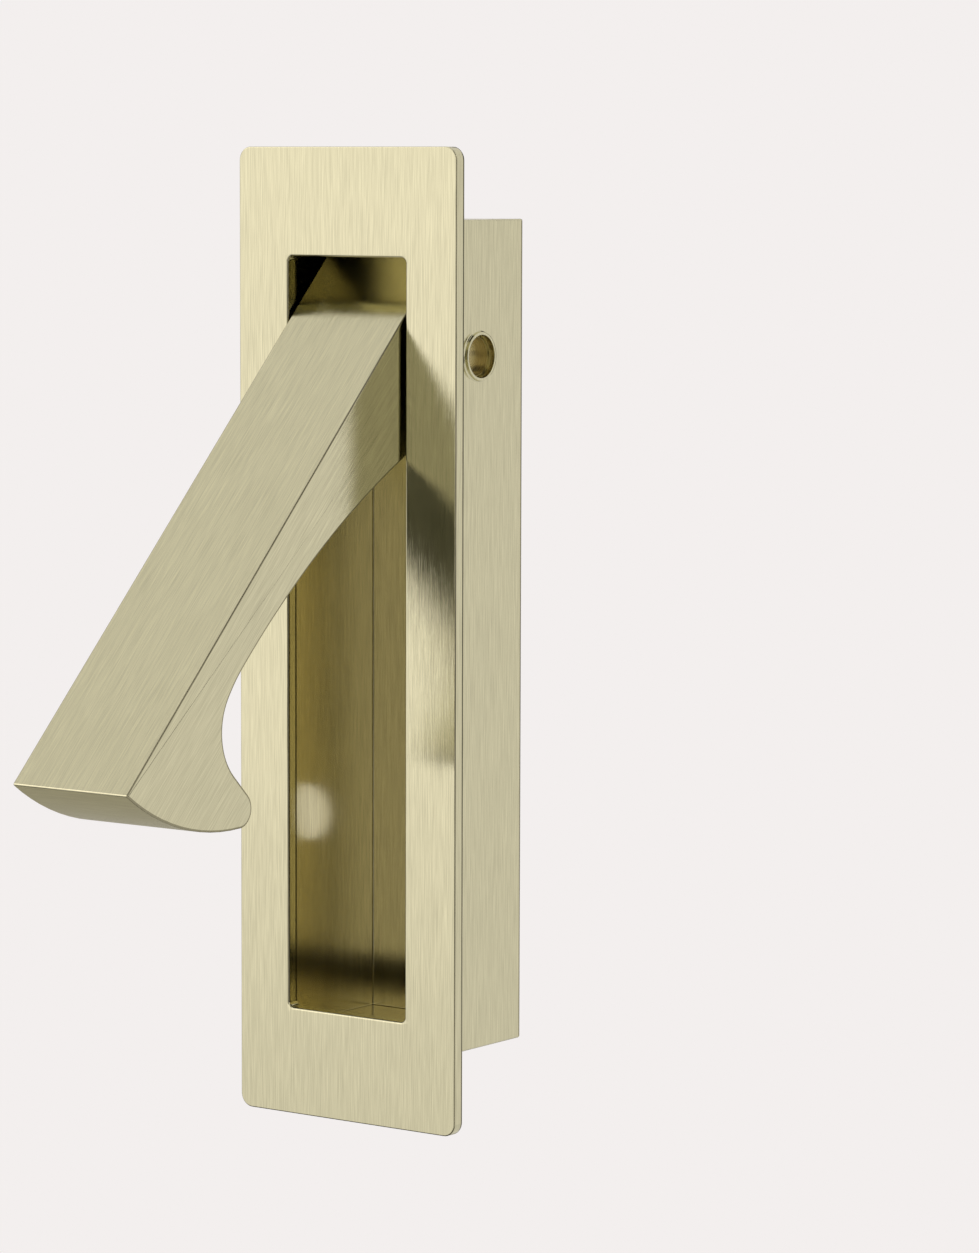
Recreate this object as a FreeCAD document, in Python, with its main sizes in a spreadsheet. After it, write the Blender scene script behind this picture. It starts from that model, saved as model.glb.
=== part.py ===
import FreeCAD, Part
import math
import os
import Sketcher

# Pocket door pull: a face plate on the door's edge, a thin box housing in the mortise behind it, and a
# hooked lever that swings out on a pin near the top of the housing.
#
# Millimetres. +X runs across the door's edge, +Y into the door, +Z up. The origin is the centre of the
# face plate's back, where it lies on the door's edge.

Vector = FreeCAD.Vector

# Driving dimensions: name, value, meaning
SIZES = [
    ("plate_width", 31.9, "face plate, across the door's edge"),
    ("plate_length", 115.0, "face plate, along the door's edge"),
    ("plate_thick", 1.6, "face plate thickness"),
    ("plate_corner", 1.6, "corner radius of the face plate"),
    ("plate_edge", 0.15, "rounding of the face plate's front edge"),
    ("rim_side", 4.7, "face plate beyond the housing, each side"),
    ("rim_end", 8.4, "face plate beyond the housing, each end"),
    ("lip_side", 1.8, "face plate over the housing's hollow, each side of the opening"),
    ("lip_end", 2.6, "face plate over the housing's hollow, each end of the opening"),
    ("opening_corner", 0.7, "corner radius of the opening"),
    ("opening_edge", 0.3, "rounding of the opening's front edge"),
    ("box_depth", 18.1, "housing, from the plate's back to its own back"),
    ("box_edge", 0.25, "rounding of the housing's outer edges"),
    ("hollow_edge", 0.15, "fillet in the corners of the housing's hollow"),
    ("wall", 0.8, "sheet thickness of the housing's sides and back"),
    ("end_wall", 1.8, "lapped ends of the housing, two sheets and their joint"),
    ("seat_depth", 0.4, "groove in the plate's back that the housing's rim sits in"),
    ("seat_gap", 0.05, "clearance each side of the rim in its groove"),
    ("fixing_hole", 7.0, "fixing hole in the housing's back"),
    ("fixing_up", 23.0, "fixing hole, above the housing's floor"),
    ("pivot_room", 8.05, "pin axis, in front of the housing's back wall"),
    ("pin_diameter", 5.0, "pivot pin"),
    ("pin_recess", 0.9, "pin end, below the collar's rim"),
    ("pin_chamfer", 0.2, "chamfer on the pin's ends"),
    ("pin_cup", 4.5, "blind hole in each end of the pin"),
    ("pin_cup_depth", 0.9, "depth of the pin's blind holes"),
    ("press_gap", 0.02, "clearance at a pressed seat"),
    ("run_gap", 0.04, "running clearance between pin and bush"),
    ("collar_rise", 0.5, "collar drawn out round the pin's hole, above the wall"),
    ("collar_wall", 0.35, "thickness of the drawn collar"),
    ("collar_root", 0.25, "fillet where the collar leaves the wall"),
    ("bush_wall", 0.7, "bush sleeve thickness"),
    ("bush_apart", 5.5, "between the two bushes' inner ends"),
    ("flange_diameter", 9.0, "bush flange and spring washer"),
    ("washer_thick", 0.3, "spring washer sheet"),
    ("washer_bow", 0.45, "height of the spring washer's bend"),
    ("washer_gap", 0.1, "clearance from the washer's crest to the wall"),
    ("washer_trim", 1.0, "margin of the bent strip that a washer is cut from"),
    ("side_gap", 0.4, "lever to the opening, each side"),
    ("foot_gap", 2.95, "lever's lower end to the opening's, when closed"),
    ("head_rise", 8.65, "lever's top, above the pin's axis"),
    ("top_gap", 0.32, "lever's top front corner to the housing's top, as it swings past"),
    ("hook_gap", 0.43, "hook to the housing's back wall, when closed"),
    ("lever_edge", 0.15, "chamfer that breaks the lever's side edges"),
    ("open_angle", 44.5, "lever's swing from flush to its open stop"),
    ("stop_gap", 0.2, "lever's heel to the housing's back wall, at the open stop"),
    ("heel_round", 1.0, "rounding of the heel's two corners"),
    ("top_round", 0.6, "rounding of the lever's top front edge"),
    ("foot_round", 0.2, "rounding of the lever's lower front edge"),
    ("hub_radius", 6.2, "back of the lever round the pin"),
    ("waist_thick", 5.7, "thinnest section of the lever"),
    ("waist_up", 22.75, "thinnest section, above the lever's lower end"),
    ("neck_radius", 19.0, "hollow between the waist and the finger scoop"),
    ("scoop_radius", 7.0, "finger scoop above the hook"),
    ("hook_up", 13.15, "hook's upper face, above the lever's lower end"),
    ("tip_radius", 2.1, "tip of the hook"),
    ("end_radius", 30.0, "curved lower end of the lever"),
]

# Two places closer together than this are the same place.
TOUCH = 1e-3

doc = FreeCAD.newDocument("PocketDoorPull")
sheet = doc.addObject("Spreadsheet::Sheet", "Sizes")
size = {}
for row, (alias, value, meaning) in enumerate(SIZES, start=1):
    sheet.set(f"A{row}", meaning)
    sheet.set(f"B{row}", str(value))
    sheet.setAlias(f"B{row}", alias)
    size[alias] = value
doc.recompute()

parts = []


# Helpers for bodies, sketches and edges

def new_body(label):
    body = doc.addObject("PartDesign::Body", label)
    body.Label = label
    parts.append(body)
    return body


def new_sketch(body, name, role, offset=None):
    sketch = body.newObject("Sketcher::SketchObject", name)
    plane = [item for item in body.Origin.OriginFeatures if item.Role == role][0]
    sketch.AttachmentSupport = [(plane, "")]
    sketch.MapMode = "FlatFace"
    if offset:
        sketch.setExpression("AttachmentOffset.Base.z", offset)
    return sketch


def dimension(sketch, name, expression, *reference):
    index = sketch.addConstraint(Sketcher.Constraint(*reference))
    sketch.renameConstraint(index, name)
    sketch.setExpression(f"Constraints.{name}", expression)


def add_rectangle(sketch, name, width, height, width_rule, height_rule):
    """Rectangle centred on the sketch's origin."""
    x = width / 2
    y = height / 2
    corners = [Vector(-x, -y, 0), Vector(x, -y, 0), Vector(x, y, 0), Vector(-x, y, 0)]
    first = sketch.GeometryCount
    for start, end in zip(corners, corners[1:] + corners[:1]):
        sketch.addGeometry(Part.LineSegment(start, end))
    for side in range(4):
        following = first + (side + 1) % 4
        sketch.addConstraint(Sketcher.Constraint("Coincident", first + side, 2, following, 1))
        direction = "Horizontal" if side % 2 == 0 else "Vertical"
        sketch.addConstraint(Sketcher.Constraint(direction, first + side))
    sketch.addConstraint(Sketcher.Constraint("Symmetric", first, 1, first + 1, 2, -1, 1))
    dimension(sketch, name + "_width", width_rule, "DistanceX", first, 1, first, 2, width)
    dimension(sketch, name + "_height", height_rule, "DistanceY", first + 1, 1, first + 1, 2, height)


def add_circle(sketch, name, x, y, radius, x_rule, y_rule, radius_rule):
    """Circle at a measured place; a rule of None keeps it on that axis."""
    index = sketch.addGeometry(Part.Circle(Vector(x, y, 0), Vector(0, 0, 1), radius))
    dimension(sketch, name + "_radius", radius_rule, "Radius", index, radius)
    if x_rule is None and y_rule is None:
        sketch.addConstraint(Sketcher.Constraint("Coincident", index, 3, -1, 1))
        return
    if x_rule is None:
        sketch.addConstraint(Sketcher.Constraint("PointOnObject", index, 3, -2))
    else:
        dimension(sketch, name + "_x", x_rule, "DistanceX", -1, 1, index, 3, x)
    if y > 0:
        dimension(sketch, name + "_y", y_rule, "DistanceY", -1, 1, index, 3, y)
    else:
        dimension(sketch, name + "_y", y_rule, "DistanceY", index, 3, -1, 1, -y)


def add_arc(sketch, centre, radius, start, end, anticlockwise):
    """Arc from start to end; returns its index and the ends' vertex numbers."""
    first, last = (start, end) if anticlockwise else (end, start)
    low = math.atan2(first.y - centre.y, first.x - centre.x)
    high = math.atan2(last.y - centre.y, last.x - centre.x)
    if high < low:
        high += 2 * math.pi
    circle = Part.Circle(centre, Vector(0, 0, 1), radius)
    index = sketch.addGeometry(Part.ArcOfCircle(circle, low, high))
    return (index, 1, 2) if anticlockwise else (index, 2, 1)


def pad(body, name, sketch, length_rule, both_ways=False, reverse=False):
    feature = body.newObject("PartDesign::Pad", name)
    feature.Profile = sketch
    feature.setExpression("Length", length_rule)
    feature.Midplane = both_ways
    feature.Reversed = reverse
    doc.recompute()
    return feature


def pocket(body, name, sketch, length_rule=None, reverse=False):
    """Pocket of a given depth, or through all both ways."""
    before = body.Shape.Volume
    feature = body.newObject("PartDesign::Pocket", name)
    feature.Profile = sketch
    if length_rule:
        feature.setExpression("Length", length_rule)
        feature.Reversed = reverse
    else:
        feature.Type = "ThroughAll"
        feature.Midplane = True
    doc.recompute()
    if body.Shape.Volume > before - TOUCH:
        raise RuntimeError(f"{name} removed nothing")
    return feature


def dress(body, kind, name, amount, amount_rule, chosen):
    """Fillet or chamfer the edges for which chosen(edge) is true."""
    base = body.Tip
    names = [f"Edge{i}" for i, edge in enumerate(base.Shape.Edges, start=1) if chosen(edge)]
    if not names:
        raise RuntimeError(f"{name} found no edge")
    feature = body.newObject("PartDesign::" + kind, name)
    feature.Base = (base, names)
    setting = "Radius" if kind == "Fillet" else "Size"
    setattr(feature, setting, amount)
    feature.setExpression(setting, amount_rule)
    doc.recompute()
    return feature


def along(edge, axis):
    """True for a straight edge parallel to the axis, given as X, Y or Z."""
    if edge.Curve.TypeId != "Part::GeomLine":
        return False
    return abs(abs(getattr(edge.Curve.Direction, axis.lower())) - 1) < TOUCH


def in_plane(edge, axis, value):
    box = edge.BoundBox
    low = getattr(box, axis + "Min")
    high = getattr(box, axis + "Max")
    return abs(low - value) < TOUCH and abs(high - value) < TOUCH


def middle(edge):
    return edge.BoundBox.Center


# Sizes worked out from the driving ones: each value, then the rule that keeps it bound to the sheet.
# From the outside in: face plate, housing, the housing's hollow, opening, lever.

box_width = size["plate_width"] - 2 * size["rim_side"]
box_length = size["plate_length"] - 2 * size["rim_end"]
inner_width = box_width - 2 * size["wall"]
inner_length = box_length - 2 * size["end_wall"]
inner_depth = size["box_depth"] - size["wall"]
opening_width = inner_width - 2 * size["lip_side"]
opening_length = inner_length - 2 * size["lip_end"]
lever_width = opening_width - 2 * size["side_gap"]
BOX_WIDTH = "(Sizes.plate_width - 2 * Sizes.rim_side)"
BOX_LENGTH = "(Sizes.plate_length - 2 * Sizes.rim_end)"
INNER_WIDTH = f"({BOX_WIDTH} - 2 * Sizes.wall)"
INNER_LENGTH = f"({BOX_LENGTH} - 2 * Sizes.end_wall)"
INNER_DEPTH = "(Sizes.box_depth - Sizes.wall)"
OPENING_WIDTH = f"({INNER_WIDTH} - 2 * Sizes.lip_side)"
OPENING_LENGTH = f"({INNER_LENGTH} - 2 * Sizes.lip_end)"
LEVER_WIDTH = f"({OPENING_WIDTH} - 2 * Sizes.side_gap)"

# The pin's axis, behind the plate's back. The lever's front is flush with the plate's when closed, and
# the axis is as far below the housing's top as the swing of the lever's top front corner needs.
pivot_in = inner_depth - size["pivot_room"]
lever_front = pivot_in + size["plate_thick"]
swing_radius = math.sqrt(lever_front ** 2 + size["head_rise"] ** 2)
pivot_up = inner_length / 2 - swing_radius - size["top_gap"]
PIVOT_IN = f"({INNER_DEPTH} - Sizes.pivot_room)"
LEVER_FRONT = f"({PIVOT_IN} + Sizes.plate_thick)"
SWING_RADIUS = f"sqrt({LEVER_FRONT} ^ 2 + Sizes.head_rise ^ 2)"
PIVOT_UP = f"({INNER_LENGTH} / 2 - {SWING_RADIUS} - Sizes.top_gap)"

# Round the pin
pin_radius = size["pin_diameter"] / 2
hole_radius = pin_radius + size["press_gap"]
bush_inner = pin_radius + size["run_gap"]
bush_outer = bush_inner + size["bush_wall"]
lever_bore = bush_outer + size["press_gap"]
flange_radius = size["flange_diameter"] / 2
washer_stack = size["washer_bow"] + size["washer_thick"] + size["washer_gap"]
flange_thick = (inner_width - lever_width) / 2 - washer_stack
HOLE_RADIUS = "(Sizes.pin_diameter / 2 + Sizes.press_gap)"
BUSH_INNER = "(Sizes.pin_diameter / 2 + Sizes.run_gap)"
BUSH_OUTER = f"({BUSH_INNER} + Sizes.bush_wall)"
WASHER_STACK = "(Sizes.washer_bow + Sizes.washer_thick + Sizes.washer_gap)"
FLANGE_THICK = f"(({INNER_WIDTH} - {LEVER_WIDTH}) / 2 - {WASHER_STACK})"

# The closed lever's lower end, below the pin's axis, and its open heel, behind it
lever_foot = pivot_up + opening_length / 2 - size["foot_gap"]
heel_reach = size["pivot_room"] - size["stop_gap"]
LEVER_FOOT = f"({PIVOT_UP} + {OPENING_LENGTH} / 2 - Sizes.foot_gap)"
HEEL_REACH = "(Sizes.pivot_room - Sizes.stop_gap)"


# Face plate: one flat plate with a rectangular opening and a shallow groove in its back

def make_face_plate():
    body = new_body("face_plate")
    outline = new_sketch(body, "PlateOutline", "XZ_Plane")
    add_rectangle(outline, "plate", size["plate_width"], size["plate_length"],
                  "Sizes.plate_width", "Sizes.plate_length")
    pad(body, "Plate", outline, "Sizes.plate_thick")
    opening = new_sketch(body, "OpeningOutline", "XZ_Plane")
    add_rectangle(opening, "opening", opening_width, opening_length, OPENING_WIDTH, OPENING_LENGTH)
    pocket(body, "Opening", opening)
    play = 2 * size["seat_gap"]
    groove = new_sketch(body, "SeatOutline", "XZ_Plane")
    add_rectangle(groove, "outside", box_width + play, box_length + play,
                  BOX_WIDTH + " + 2 * Sizes.seat_gap", BOX_LENGTH + " + 2 * Sizes.seat_gap")
    add_rectangle(groove, "inside", inner_width - play, inner_length - play,
                  INNER_WIDTH + " - 2 * Sizes.seat_gap", INNER_LENGTH + " - 2 * Sizes.seat_gap")
    pocket(body, "Seat", groove, "Sizes.seat_depth", reverse=True)

    def upright_at(edge, x):
        return along(edge, "Y") and abs(abs(middle(edge).x) - x) < TOUCH

    dress(body, "Fillet", "PlateCorners", size["plate_corner"], "Sizes.plate_corner",
          lambda edge: upright_at(edge, size["plate_width"] / 2))
    dress(body, "Fillet", "OpeningCorners", size["opening_corner"], "Sizes.opening_corner",
          lambda edge: upright_at(edge, opening_width / 2))
    front = -size["plate_thick"]

    def beyond_opening(edge):
        centre = middle(edge)
        return abs(centre.x) > opening_width / 2 + TOUCH or abs(centre.z) > opening_length / 2 + TOUCH

    def outer_front(edge):
        return in_plane(edge, "Y", front) and beyond_opening(edge)

    def opening_front(edge):
        return in_plane(edge, "Y", front) and not beyond_opening(edge)

    dress(body, "Fillet", "PlateEdge", size["plate_edge"], "Sizes.plate_edge", outer_front)
    dress(body, "Fillet", "OpeningEdge", size["opening_edge"], "Sizes.opening_edge", opening_front)


# Housing: thin box open to the front, with a collar drawn out round each pin hole

def make_housing():
    body = new_body("housing")
    outline = new_sketch(body, "BoxOutline", "XZ_Plane", "Sizes.seat_depth")
    add_rectangle(outline, "box", box_width, box_length, BOX_WIDTH, BOX_LENGTH)
    pad(body, "Box", outline, "Sizes.box_depth + Sizes.seat_depth", reverse=True)
    back = size["box_depth"]
    dress(body, "Fillet", "BoxEdges", size["box_edge"], "Sizes.box_edge",
          lambda edge: along(edge, "Y") or in_plane(edge, "Y", back))

    collar = new_sketch(body, "CollarOutline", "YZ_Plane")
    add_circle(collar, "collar", pivot_in, pivot_up, hole_radius + size["collar_wall"],
               PIVOT_IN, PIVOT_UP, HOLE_RADIUS + " + Sizes.collar_wall")
    pad(body, "Collars", collar, BOX_WIDTH + " + 2 * Sizes.collar_rise", both_ways=True)

    def ring_on_side(edge):
        on_side = in_plane(edge, "X", box_width / 2) or in_plane(edge, "X", -box_width / 2)
        return on_side and edge.Closed

    dress(body, "Fillet", "CollarRoots", size["collar_root"], "Sizes.collar_root", ring_on_side)

    cavity = new_sketch(body, "CavityOutline", "XZ_Plane", "Sizes.seat_depth")
    add_rectangle(cavity, "cavity", inner_width, inner_length, INNER_WIDTH, INNER_LENGTH)
    pocket(body, "Cavity", cavity, INNER_DEPTH + " + Sizes.seat_depth")

    def in_hollow(edge):
        centre = middle(edge)
        return abs(centre.x) < inner_width / 2 + TOUCH and abs(centre.z) < inner_length / 2 + TOUCH

    dress(body, "Fillet", "HollowEdges", size["hollow_edge"], "Sizes.hollow_edge",
          lambda edge: in_hollow(edge) and (along(edge, "Y") or in_plane(edge, "Y", inner_depth)))

    bore = new_sketch(body, "PinHoleOutline", "YZ_Plane")
    add_circle(bore, "hole", pivot_in, pivot_up, hole_radius, PIVOT_IN, PIVOT_UP, HOLE_RADIUS)
    pocket(body, "PinHoles", bore)

    fixing = new_sketch(body, "FixingOutline", "XZ_Plane")
    add_circle(fixing, "hole", 0, size["fixing_up"] - inner_length / 2, size["fixing_hole"] / 2,
               None, f"{INNER_LENGTH} / 2 - Sizes.fixing_up", "Sizes.fixing_hole / 2")
    pocket(body, "FixingHole", fixing)


# Lever: drawn closed, with the pin's axis as its origin, then turned to the open stop

def end_curve_centre(foot, tip, end_radius, tip_radius):
    """Centre of the arc that starts at the foot and runs smoothly into the tip's own arc."""
    span = (tip - foot).Length
    toward = (tip - foot).normalize()
    across = Vector(-toward.y, toward.x, 0)
    share = (end_radius ** 2 - (end_radius - tip_radius) ** 2 + span ** 2) / (2 * span)
    return foot + toward * share + across * math.sqrt(end_radius ** 2 - share ** 2)


def draw_lever(sketch):
    front = lever_front
    top = size["head_rise"]
    hub = size["hub_radius"]
    heel = heel_reach
    angle = math.radians(size["open_angle"])
    waist = Vector(size["waist_thick"] - front, size["waist_up"] - lever_foot, 0)
    hook = size["hook_up"] - lever_foot

    end_radius = size["end_radius"]
    tip_radius = size["tip_radius"]
    top_front = Vector(-front, top, 0)
    foot_front = Vector(-front, -lever_foot, 0)
    tip_in = size["pivot_room"] - size["hook_gap"] - tip_radius
    tip_centre = Vector(tip_in, hook - tip_radius, 0)
    end_centre = end_curve_centre(foot_front, tip_centre, end_radius, tip_radius)
    end_to_tip = (tip_centre - end_centre).normalize()

    neck_radius = size["neck_radius"]
    scoop_radius = size["scoop_radius"]
    neck_centre = Vector(waist.x + neck_radius, waist.y, 0)
    scoop_y = hook + scoop_radius
    scoop_reach = math.sqrt((neck_radius - scoop_radius) ** 2 - (scoop_y - waist.y) ** 2)
    scoop_centre = Vector(neck_centre.x - scoop_reach, scoop_y, 0)
    neck_to_scoop = (scoop_centre - neck_centre).normalize()

    back_radius = (waist.x ** 2 + waist.y ** 2 - hub ** 2) / (2 * (hub - waist.x))
    back_centre = Vector(waist.x + back_radius, waist.y, 0)
    hub_centre = Vector(0, 0, 0)
    hub_to_back = (back_centre - hub_centre).normalize()

    end_last = end_centre + end_to_tip * end_radius
    tip_last = Vector(tip_centre.x, hook, 0)
    scoop_first = Vector(scoop_centre.x, hook, 0)
    scoop_last = neck_centre + neck_to_scoop * neck_radius
    back_last = hub_centre + hub_to_back * hub
    hub_last = Vector(hub, 0, 0)
    heel_low = Vector(hub, (heel - hub * math.cos(angle)) / math.sin(angle), 0)
    heel_high = Vector((heel - top * math.sin(angle)) / math.cos(angle), top, 0)

    face = (sketch.addGeometry(Part.LineSegment(top_front, foot_front)), 1, 2)
    end = add_arc(sketch, end_centre, end_radius, foot_front, end_last, True)
    tip = add_arc(sketch, tip_centre, tip_radius, end_last, tip_last, True)
    shelf = (sketch.addGeometry(Part.LineSegment(tip_last, scoop_first)), 1, 2)
    scoop = add_arc(sketch, scoop_centre, scoop_radius, scoop_first, scoop_last, False)
    neck = add_arc(sketch, neck_centre, neck_radius, scoop_last, waist, False)
    back = add_arc(sketch, back_centre, back_radius, waist, back_last, False)
    round_hub = add_arc(sketch, hub_centre, hub, back_last, hub_last, True)
    rear = (sketch.addGeometry(Part.LineSegment(hub_last, heel_low)), 1, 2)
    stop = (sketch.addGeometry(Part.LineSegment(heel_low, heel_high)), 1, 2)
    crown = (sketch.addGeometry(Part.LineSegment(heel_high, top_front)), 1, 2)

    def join(kind, before, after):
        sketch.addConstraint(Sketcher.Constraint(kind, before[0], before[2], after[0], after[1]))

    join("Coincident", face, end)
    join("Tangent", end, tip)
    join("Tangent", tip, shelf)
    join("Tangent", shelf, scoop)
    join("Tangent", scoop, neck)
    join("Tangent", neck, back)
    join("Tangent", back, round_hub)
    join("Tangent", round_hub, rear)
    join("Coincident", rear, stop)
    join("Coincident", stop, crown)
    join("Coincident", crown, face)
    upright = [face, rear]
    level = [shelf, crown]
    for line in upright:
        sketch.addConstraint(Sketcher.Constraint("Vertical", line[0]))
    for line in level:
        sketch.addConstraint(Sketcher.Constraint("Horizontal", line[0]))
    sketch.addConstraint(Sketcher.Constraint("Coincident", round_hub[0], 3, -1, 1))
    sketch.addConstraint(Sketcher.Constraint("Horizontal", neck[0], 3, neck[0], neck[2]))

    dimension(sketch, "front", LEVER_FRONT, "DistanceX", face[0], 1, -1, 1, front)
    dimension(sketch, "top", "Sizes.head_rise", "DistanceY", -1, 1, face[0], 1, top)
    dimension(sketch, "foot", LEVER_FOOT, "DistanceY", face[0], 2, -1, 1, lever_foot)
    dimension(sketch, "end_radius", "Sizes.end_radius", "Radius", end[0], end_radius)
    dimension(sketch, "tip_radius", "Sizes.tip_radius", "Radius", tip[0], tip_radius)
    dimension(sketch, "tip_in", "Sizes.pivot_room - Sizes.hook_gap - Sizes.tip_radius",
              "DistanceX", -1, 1, tip[0], 3, tip_in)
    dimension(sketch, "hook_up", "Sizes.hook_up",
              "DistanceY", face[0], 2, shelf[0], 1, size["hook_up"])
    dimension(sketch, "scoop_radius", "Sizes.scoop_radius", "Radius", scoop[0], scoop_radius)
    dimension(sketch, "neck_radius", "Sizes.neck_radius", "Radius", neck[0], neck_radius)
    dimension(sketch, "waist_thick", "Sizes.waist_thick",
              "DistanceX", face[0], 2, neck[0], neck[2], size["waist_thick"])
    dimension(sketch, "waist_up", "Sizes.waist_up",
              "DistanceY", face[0], 2, neck[0], neck[2], size["waist_up"])
    dimension(sketch, "hub_radius", "Sizes.hub_radius", "Radius", round_hub[0], hub)
    dimension(sketch, "heel_lean", "Sizes.open_angle * 1 deg",
              "Angle", rear[0], 1, stop[0], 1, angle)
    dimension(sketch, "heel_reach", HEEL_REACH, "Distance", -1, 1, stop[0], heel)


def make_lever():
    body = new_body("pull_lever")
    profile = new_sketch(body, "LeverProfile", "YZ_Plane")
    draw_lever(profile)
    doc.recompute()
    pad(body, "Bar", profile, LEVER_WIDTH, both_ways=True)

    def at_front(edge):
        return abs(middle(edge).y + lever_front) < TOUCH

    dress(body, "Fillet", "HeelCorners", size["heel_round"], "Sizes.heel_round",
          lambda edge: along(edge, "X") and middle(edge).z > TOUCH and not at_front(edge))
    dress(body, "Fillet", "TopEdge", size["top_round"], "Sizes.top_round",
          lambda edge: along(edge, "X") and middle(edge).z > TOUCH and at_front(edge))
    dress(body, "Fillet", "FootEdge", size["foot_round"], "Sizes.foot_round",
          lambda edge: along(edge, "X") and middle(edge).z < -TOUCH and at_front(edge))
    side = lever_width / 2
    dress(body, "Chamfer", "SideEdges", size["lever_edge"], "Sizes.lever_edge",
          lambda edge: in_plane(edge, "X", side) or in_plane(edge, "X", -side))
    bore = new_sketch(body, "BoreOutline", "YZ_Plane")
    add_circle(bore, "bore", 0, 0, lever_bore, None, None, BUSH_OUTER + " + Sizes.press_gap")
    pocket(body, "Bore", bore)
    hang_on_pin(body)
    # The axis points along -X, so that a positive angle swings the lower end out of the plate.
    body.Placement.Rotation = FreeCAD.Rotation(Vector(-1, 0, 0), size["open_angle"])
    body.setExpression("Placement.Rotation.Angle", "Sizes.open_angle * 1 deg")


def hang_on_pin(body):
    body.setExpression("Placement.Base.y", PIVOT_IN)
    body.setExpression("Placement.Base.z", PIVOT_UP)


# Pivot pin: rod with a shallow blind hole in each end, chamfered, pressed into both collars

def make_pin():
    body = new_body("pivot_pin")
    section = new_sketch(body, "PinSection", "YZ_Plane")
    add_circle(section, "pin", 0, 0, pin_radius, None, None, "Sizes.pin_diameter / 2")
    pad(body, "Rod", section, BOX_WIDTH + " + 2 * Sizes.collar_rise - 2 * Sizes.pin_recess",
        both_ways=True)
    dress(body, "Chamfer", "PinEnds", size["pin_chamfer"], "Sizes.pin_chamfer",
          lambda edge: edge.Closed and edge.Curve.TypeId == "Part::GeomCircle")
    END = f"({BOX_WIDTH} / 2 + Sizes.collar_rise - Sizes.pin_recess)"
    for end_name, sign in (("Right", ""), ("Left", "-")):
        cup = new_sketch(body, end_name + "CupOutline", "YZ_Plane", sign + END)
        add_circle(cup, "cup", 0, 0, size["pin_cup"] / 2, None, None, "Sizes.pin_cup / 2")
        pocket(body, end_name + "Cup", cup, "Sizes.pin_cup_depth", reverse=bool(sign))
    hang_on_pin(body)


# Bushes: flanged sleeves pressed into the lever's bore from both sides

def make_bush(label, turn):
    body = new_body(label)
    profile = new_sketch(body, "BushProfile", "XY_Plane")
    seat = lever_width / 2
    inner_end = size["bush_apart"] / 2
    outer_end = seat + flange_thick
    points = [
        Vector(inner_end, bush_inner, 0),
        Vector(outer_end, bush_inner, 0),
        Vector(outer_end, flange_radius, 0),
        Vector(seat, flange_radius, 0),
        Vector(seat, bush_outer, 0),
        Vector(inner_end, bush_outer, 0),
    ]
    for start, end in zip(points, points[1:] + points[:1]):
        profile.addGeometry(Part.LineSegment(start, end))
    for line in range(len(points)):
        following = (line + 1) % len(points)
        profile.addConstraint(Sketcher.Constraint("Coincident", line, 2, following, 1))
        profile.addConstraint(Sketcher.Constraint("Vertical" if line % 2 else "Horizontal", line))
    dimension(profile, "inner_end", "Sizes.bush_apart / 2", "DistanceX", -1, 1, 0, 1, inner_end)
    dimension(profile, "seat", LEVER_WIDTH + " / 2", "DistanceX", -1, 1, 3, 1, seat)
    dimension(profile, "flange_face", f"{LEVER_WIDTH} / 2 + {FLANGE_THICK}",
              "DistanceX", -1, 1, 0, 2, outer_end)
    dimension(profile, "bore", BUSH_INNER, "DistanceY", -1, 1, 0, 1, bush_inner)
    dimension(profile, "sleeve", BUSH_OUTER, "DistanceY", -1, 1, 4, 2, bush_outer)
    dimension(profile, "flange", "Sizes.flange_diameter / 2",
              "DistanceY", -1, 1, 2, 1, flange_radius)
    turned = body.newObject("PartDesign::Revolution", "Turned")
    turned.Profile = profile
    turned.ReferenceAxis = (profile, ["H_Axis"])
    turned.Angle = 360
    doc.recompute()
    body.Placement.Rotation = FreeCAD.Rotation(Vector(0, 0, 1), turn)
    hang_on_pin(body)


# Spring washers: rings of sheet bent round one axis, between the flanges and the walls. Each is cut
# from a bent strip, and its rim touches the flange at the bend's two ends.

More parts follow.
